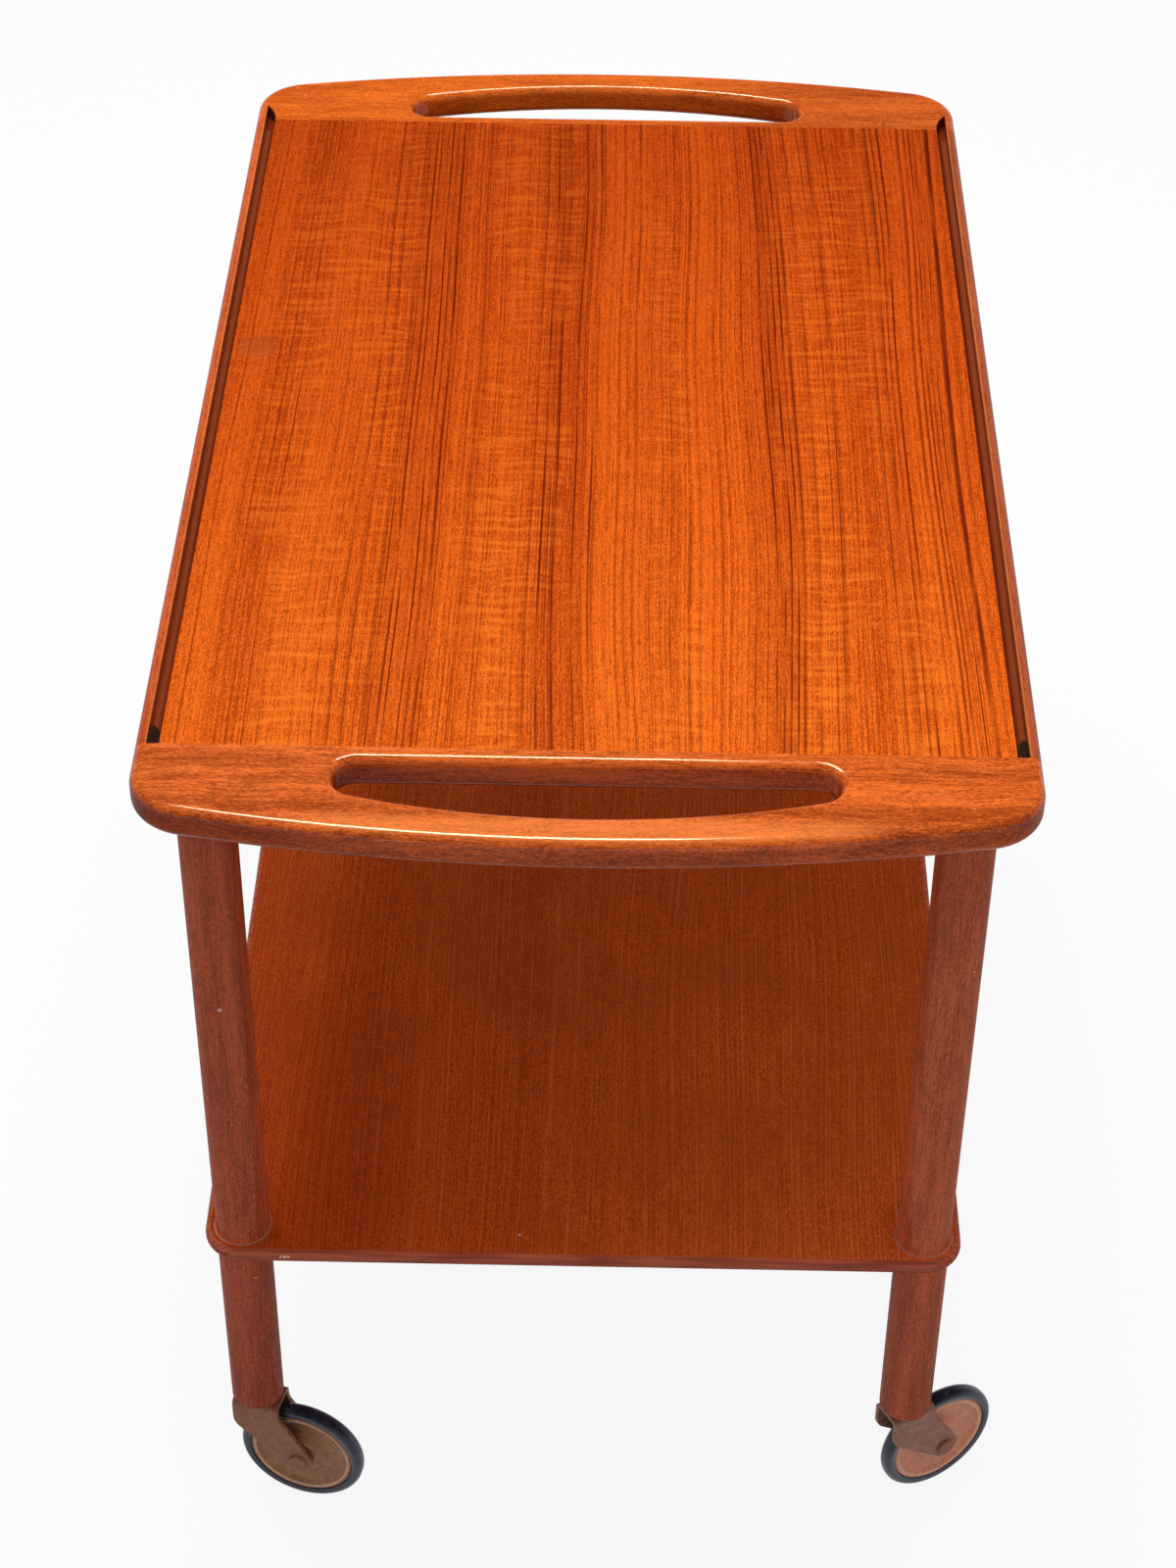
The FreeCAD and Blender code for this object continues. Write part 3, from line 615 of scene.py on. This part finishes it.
def ripple(g, spot):
    """Ripple figure across the grain of the top: how strongly it shows at each place."""
    x, y, _ = g.split(spot)
    bend = g.times(fibres(g, spot, AXIS_Y, *RIPPLE_BEND_CELL), RIPPLE_BEND)
    wide, long = RIPPLE_CELLS
    crest = g.noise(g.join(g.times(x, wide), g.times(g.total(y, bend), long), 0.0), *RIPPLE_NOISE)
    wide, long = RIPPLE_PATCH_CELLS
    patch = g.noise(g.join(g.times(x, wide), g.times(y, long), RIPPLE_PATCH_Z), *RIPPLE_NOISE)
    strips = g.scaled(windows(g, x, RIPPLE_STRIPS), RIPPLE_OUTSIDE, 1.0)
    return g.times(g.step(crest, *RIPPLE_EDGE), g.step(patch, *RIPPLE_PATCH_EDGE), strips)


def painted_falloff(g, colour, y):
    """Painted light: the top's colour, paler at the front and darker at the rear."""
    tone = g.mix(g.step(y, *LIGHT_FALLOFF_FRONT_Y), LIGHT_FALLOFF_FRONT, LIGHT_FALLOFF_MIDDLE)
    tone = g.mix(g.step(y, *LIGHT_FALLOFF_REAR_Y), tone, LIGHT_FALLOFF_REAR)
    return g.mix(1.0, colour, tone, "MULTIPLY")


def top_veneer():
    """Top panel: orange teak veneer with clustered dark growth lines and ripple figure."""
    g = new_graph("top_veneer")
    spot = g.place()
    x, y, _ = g.split(spot)
    colour, ring, fleck = veneer_grain(g, spot, TOP_DARK, TOP_LIGHT, TOP_SEED, TOP_BROAD_SHARE)
    colour = g.mix(g.times(ripple(g, spot), RIPPLE_SHARE), colour, TOP_FIGURE)
    groups = windows(g, ring, LINE_GROUPS)
    colour = g.mix(g.times(groups, GROUP_SHARE), colour, TOP_DARK)
    grouped = g.times(hairlines(g, ring, *GROUP_HAIR), groups)
    drawn = g.most(grouped, g.times(hairlines(g, ring, *LONE_HAIR), LONE_SHARE))
    breaks = g.step(fibres(g, spot, AXIS_Y, *LINE_BREAK_CELL), *LINE_BREAK_EDGE)
    colour = g.mix(g.times(drawn, breaks, LINE_SHARE), colour, TOP_LINE)
    pores = g.step(fibres(g, spot, AXIS_Y, *TOP_PORE_CELL), *TOP_PORE_EDGE)
    colour = g.mix(g.times(pores, TOP_PORE_SHARE), colour, TOP_LINE)
    stain = g.times(g.near(spot, STAIN_POINT, *STAIN_RADII), g.scaled(fleck, *STAIN_SHARE))
    colour = g.mix(stain, colour, STAIN_COLOUR)
    # Painted light: paler at the front, darker at the rear, and one side lighter than the other
    colour = painted_side_light(g, painted_falloff(g, colour, y), x, PANEL_SIDE_LIGHT)
    relief = weighted(g, (fleck, pores, drawn), TOP_RELIEF)
    return lacquered(g, colour, relief, TOP_ROUGHNESS, fleck, TOP_COAT)


def shelf_edge(g, spot, colour, flat):
    """The shelf's solid edge wherever the surface isn't flat."""
    tone = fibres(g, spot, AXIS_X, *SHELF_EDGE_CELL)
    edge = g.mix(g.step(tone, *SHELF_EDGE_CONTRAST), SHELF_EDGE_DARK, SHELF_EDGE_LIGHT)
    return g.mix(flat, edge, colour)


def leg_seam_highlights(g, x, y, colour, flat):
    """A painted highlight on the seam on the flat of the shelf round each leg."""
    below = g.join(x, y, 0.0)
    for side in (-1, 1):
        for end in (-1, 1):
            foot = (side * LEG_X, end * LEG_Y, 0.0)
            seam_highlight = g.times(g.near(below, foot, *SEAM_RADII), flat, SEAM_HIGHLIGHT_SHARE)
            colour = g.mix(seam_highlight, colour, SEAM_HIGHLIGHT_COLOUR)
    return colour


def shelf_veneer():
    """Lower shelf: darker veneer with pale flecks, painted light across the front half, a solid edge, and a
    painted highlight on the seam at each leg.
    """
    g = new_graph("shelf_veneer")
    spot = g.place()
    x, y, _ = g.split(spot)
    colour, ring, fleck = veneer_grain(g, spot, SHELF_DARK, SHELF_LIGHT, SHELF_SEED, SHELF_BROAD_SHARE)
    breaks = g.step(fibres(g, spot, AXIS_Y, *SHELF_BREAK_CELL), *SHELF_BREAK_EDGE)
    pale = g.times(hairlines(g, ring, *SHELF_HAIR), breaks, SHELF_HAIR_SHARE)
    colour = g.mix(pale, colour, SHELF_FLECK)
    cloud = g.step(g.noise(spot, *CLOUD_NOISE), *CLOUD_EDGE)
    colour = g.mix(g.times(cloud, CLOUD_SHARE), colour, SHELF_CLOUD)
    # Painted light across the front half, darker at the left and lighter at the right
    colour = g.mix(g.step(y, *SHELF_SIDE_LIGHT_Y), colour, painted_side_light(g, colour, x, SHELF_SIDE_LIGHT))
    flat = g.step(g.level(), *SHELF_FLAT_LEVEL)
    colour = shelf_edge(g, spot, colour, flat)
    # Painted highlight on the seam round each leg
    colour = leg_seam_highlights(g, x, y, colour, flat)
    colour = nicked(g, spot, colour, SHELF_MARKS)
    return lacquered(g, colour, g.times(fleck, SHELF_RELIEF), SHELF_ROUGHNESS, fleck, SHELF_COAT)


def wheel_radius(g, spot):
    """Distance from the middle of the nearest wheel."""
    gaps = []
    for corner in CORNERS:
        points = [Vector(point) for point in nodes[corner + "_tyre"].bound_box]
        gaps.append(g.gap(spot, sum(points, Vector()) / len(points)))
    return g.least(*gaps)


def metal(name, dark, light, rust, metallic, roughness, ring=None):
    """Aged lacquered sheet metal with blotches, dull rusty patches, and on wheels a bright ring, partly worn
    metal and partly a painted highlight.
    """
    g = new_graph(name)
    spot = g.place()
    blotch = g.noise(spot, *BLOTCH_NOISE)
    colour = g.mix(g.step(blotch, *BLOTCH_CONTRAST), dark, light)
    patches = g.step(g.noise(spot, *RUST_NOISE), *RUST_EDGE)
    colour = g.mix(g.times(patches, RUST_SHARE), colour, rust)
    speck = g.noise(spot, *SPECK_NOISE)
    spots = g.times(g.step(speck, *SPECK_EDGE), SPECK_SHARE)
    colour = g.mix(spots, colour, darker(dark, SPECK_DARKNESS))
    if ring:
        # Bright ring, partly wear and partly a painted highlight
        rim_wear_and_highlight = window(g, wheel_radius(g, spot), DISC_RING_RADIUS, DISC_RING_HALF)
        colour = g.mix(g.times(rim_wear_and_highlight, g.scaled(blotch, *RING_WEAR_AND_HIGHLIGHT_SHARE)), colour, ring)
    smooth, dull = roughness - METAL_ROUGHNESS_SPREAD, roughness + METAL_ROUGHNESS_SPREAD
    return g.surface({
        "Base Color": colour,
        "Metallic": metallic,
        "Roughness": g.scaled(blotch, smooth, dull),
        "Normal": g.bump(speck, METAL_BUMP),
    })


def tyre_rubber():
    """Worn black rubber with a little dust, tinted blue as a painted sheen."""
    g = new_graph("tyre_rubber")
    spot = g.place()
    dust = g.noise(spot, *DUST_NOISE)
    return g.surface({
        # Dust, tinted blue as a painted sheen
        "Base Color": g.mix(g.times(g.step(dust, *DUST_EDGE), DUST_AND_SHEEN_SHARE), TYRE_COLOUR, TYRE_DUST_AND_SHEEN),
        "Roughness": g.scaled(dust, *TYRE_ROUGHNESS),
        "Normal": g.bump(g.noise(spot, *TYRE_GRAIN), TYRE_BUMP),
        "Specular IOR Level": TYRE_SPECULAR,
        "Specular Tint": TYRE_SHEEN,
    })


def dress_handles():
    """Finishes of the two handles."""
    front = solid_teak("handle_teak", AXIS_X, HANDLE_DARK, HANDLE_LIGHT, HANDLE_SEED, HANDLE_COAT,
                       touch=handle_painted_light, edge_coat=HANDLE_EDGE_COAT, sway=HANDLE_SWAY)
    rear = solid_teak("rear_handle_teak", AXIS_X, REAR_HANDLE_DARK, REAR_HANDLE_LIGHT,
                      REAR_HANDLE_SEED, REAR_HANDLE_COAT, touch=rear_handle_painted_light, sway=HANDLE_SWAY)
    dress("front_handle", front)
    dress("rear_handle", rear)


def dress_sides():
    """Finishes of the side rails, the grooves and their stops."""
    rail = solid_teak("rail_teak", AXIS_Y, RAIL_DARK, RAIL_LIGHT, RAIL_SEED, RAIL_COAT, touch=rail_painted_light)
    groove = solid_teak("groove_wood", AXIS_Y, GROOVE_DARK, GROOVE_LIGHT, GROOVE_SEED, GROOVE_COAT,
                        touch=groove_floor_shade)
    # Stops in the grooves, dark brown to nearly black
    stop = solid_teak("stop_rubber", AXIS_Y, STOP_DARK, STOP_LIGHT, STOP_SEED, NO_COAT)
    for side in SIDES:
        dress(side + "_side_rail", rail)
        dress(side + "_edge_lipping", groove)
        dress(side + "_groove_stop", stop)


def dress_joinery():
    """Finish of the hidden tongues and dowels."""
    inner = solid_teak("inner_wood", AXIS_Y, INNER_DARK, INNER_LIGHT, INNER_SEED, NO_COAT, INNER_PORE_SHARE)
    for name in ("front_tongue", "rear_tongue", "edge_dowels", "leg_dowels"):
        dress(name, inner)


def dress_corners():
    """Finishes of the legs and casters, with copper discs and paler forks at the right."""
    leg = solid_teak("leg_teak", AXIS_Z, LEG_DARK, LEG_LIGHT, LEG_SEED, LEG_COAT, LEG_PORE_SHARE, leg_nicks_and_side_light)
    steel = metal("plain_steel", *PLAIN_STEEL)
    tyre = tyre_rubber()
    bronze = metal("fork_bronze", *FORK_BRONZE)
    forks = {"left": bronze, "right": metal("fork_pale", *FORK_PALE)}
    discs = {
        "left": metal("disc_bronze", *DISC_BRONZE, ring=RING_WEAR_AND_HIGHLIGHT),
        "right": metal("disc_copper", *DISC_COPPER, ring=RING_WEAR_AND_HIGHLIGHT),
    }
    for corner in CORNERS:
        side = corner.split("_")[1]
        finishes = {
            "upper_leg": leg,
            "lower_leg": leg,
            "caster_socket": steel,
            "caster_stem": steel,
            "caster_fork": forks[side],
            "axle_rivet": bronze,
            "wheel_bush": steel,
            "wheel_disc_left": discs[side],
            "wheel_disc_right": discs[side],
            "tyre": tyre,
        }
        for piece, finish in finishes.items():
            dress(corner + "_" + piece, finish)


def dress_all():
    """Finishes for every CAD node."""
    dress("top_panel", top_veneer())
    dress("lower_shelf", shelf_veneer())
    dress_handles()
    dress_sides()
    dress_joinery()
    dress_corners()


def aim_camera():
    """Camera at the photograph's viewpoint."""
    pitch, yaw, roll = (math.radians(angle) for angle in (CAMERA_PITCH, CAMERA_YAW, CAMERA_ROLL))
    ahead = Vector((-math.sin(yaw) * math.cos(pitch), math.cos(yaw) * math.cos(pitch), -math.sin(pitch)))
    level = Vector((math.cos(yaw), math.sin(yaw), 0))
    below = Vector((math.sin(pitch) * math.sin(yaw), -math.sin(pitch) * math.cos(yaw), -math.cos(pitch)))
    right = math.cos(roll) * level - math.sin(roll) * below
    down = math.sin(roll) * level + math.cos(roll) * below
    data = bpy.data.cameras.new("camera")
    data.sensor_fit = "VERTICAL"
    data.sensor_height = SENSOR_HEIGHT
    data.lens = CAMERA_LENS
    camera = bpy.data.objects.new("camera", data)
    turn = Matrix((right, -down, -ahead)).transposed().to_4x4()
    camera.matrix_world = Matrix.Translation(CAMERA_PLACE) @ turn
    bpy.context.scene.collection.objects.link(camera)
    bpy.context.scene.camera = camera


def softbox(name, place, target, size, power, colour=WHITE, glossy=True, diffuse=True):
    """Rectangular studio lamp aimed at a point."""
    data = bpy.data.lights.new(name, "AREA")
    data.shape = "RECTANGLE"
    data.size, data.size_y = size
    data.energy = power
    data.color = colour
    lamp = bpy.data.objects.new(name, data)
    lamp.location = place
    lamp.rotation_euler = (Vector(target) - Vector(place)).to_track_quat("-Z", "Y").to_euler()
    lamp.visible_glossy = glossy
    lamp.visible_diffuse = diffuse
    lamp.visible_camera = False
    bpy.context.scene.collection.objects.link(lamp)


def light_studio():
    """Soft key light over the rear half, and a warm softbox that only makes highlights."""
    softbox("key", KEY_PLACE, KEY_TARGET, KEY_SIZE, KEY_POWER, glossy=False)
    softbox("highlight", HIGHLIGHT_PLACE, HIGHLIGHT_TARGET, HIGHLIGHT_SIZE, HIGHLIGHT_POWER,
            HIGHLIGHT_COLOUR, diffuse=False)


def surround():
    """World that is white to the eye, and in reflections pale at the horizon and dim overhead."""
    world = bpy.data.worlds.new("studio")
    bpy.context.scene.world = world
    g = Graph(world, "ShaderNodeOutputWorld")
    path = g.add("ShaderNodeLightPath").outputs
    height = g.split(g.add("ShaderNodeTexCoord").outputs["Generated"])[AXIS_Z]
    mirrored = g.step(height, *HORIZON_FALL, HORIZON_STRENGTH, OVERHEAD_STRENGTH)
    shares = {0: path["Is Diffuse Ray"], 2: mirrored, 3: DIFFUSE_STRENGTH}
    strength = g.most(g.add("ShaderNodeMix", shares).outputs[0], path["Is Camera Ray"])
    g.end(g.add("ShaderNodeBackground", {"Color": WHITE, "Strength": strength}).outputs[0])


def lay_floor():
    """Pale floor that keeps a soft shadow."""
    ends = (-FLOOR_REACH, FLOOR_REACH)
    points = [(x, y, 0) for x in ends for y in ends]
    mesh = bpy.data.meshes.new("floor")
    mesh.from_pydata(points, [], [(0, 2, 3, 1)])
    floor = bpy.data.objects.new("floor", mesh)
    bpy.context.scene.collection.objects.link(floor)
    g = new_graph("floor")
    path = g.add("ShaderNodeLightPath").outputs
    seen = g.most(path["Is Camera Ray"], path["Is Glossy Ray"], path["Is Transmission Ray"])
    paper = g.add("ShaderNodeBsdfDiffuse", {"Color": g.mix(seen, FLOOR_GREY, FLOOR_PAPER)}).outputs[0]
    glow = g.add("ShaderNodeEmission", {"Color": WHITE, "Strength": FLOOR_GLOW}).outputs[0]
    shares = {0: g.times(seen, FLOOR_GLOW_SHARE), 1: paper, 2: glow}
    mesh.materials.append(g.end(g.add("ShaderNodeMixShader", shares).outputs[0]))


dress_all()
aim_camera()
light_studio()
surround()
lay_floor()
bpy.context.scene.view_settings.view_transform = "Standard"
